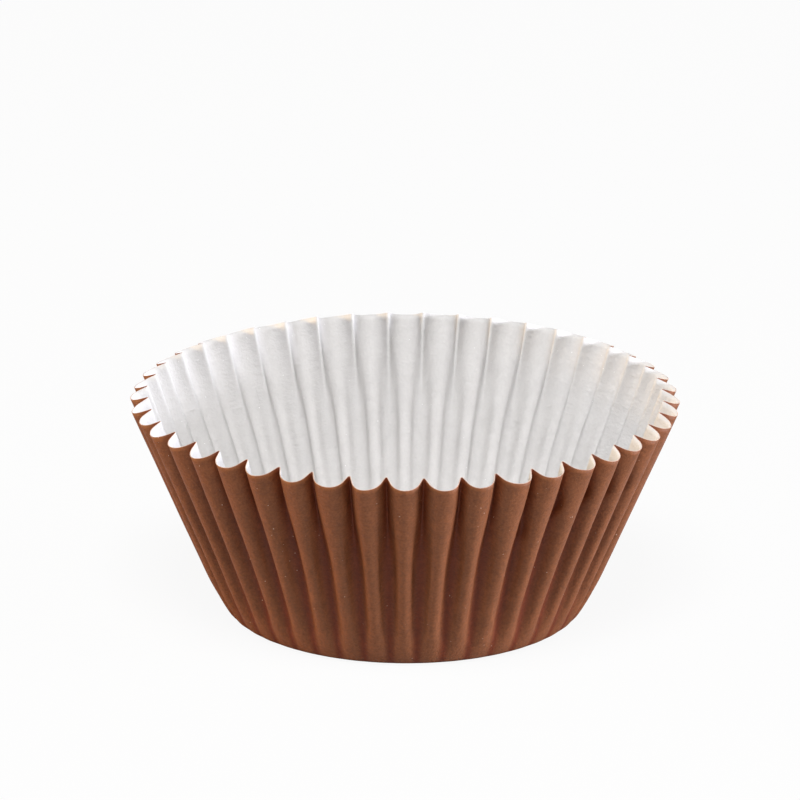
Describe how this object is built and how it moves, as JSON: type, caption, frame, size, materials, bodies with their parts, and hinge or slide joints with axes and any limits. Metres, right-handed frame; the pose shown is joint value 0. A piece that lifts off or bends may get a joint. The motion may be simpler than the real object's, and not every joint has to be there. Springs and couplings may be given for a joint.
{
  "type": "cupcake liner",
  "caption": "Fluted round paper baking cup with a flat floor and a flared, deeply pleated wall, brown outside and white inside, for holding cake batter",
  "frame": {"origin": "middle of the underside of the flat floor", "axes": "+Z is the axis of the cup, from the floor up to the open rim; an outward fold lies on +X and another on -Y, towards the viewer"},
  "size_m": [0.0756, 0.0756, 0.0311],
  "materials": {
    "brown_paper": "matte with a faint satin sheen, white on the inside"
  },
  "bodies": {
    "root": {"liner": "brown_paper"}
  },
  "joints": []
}
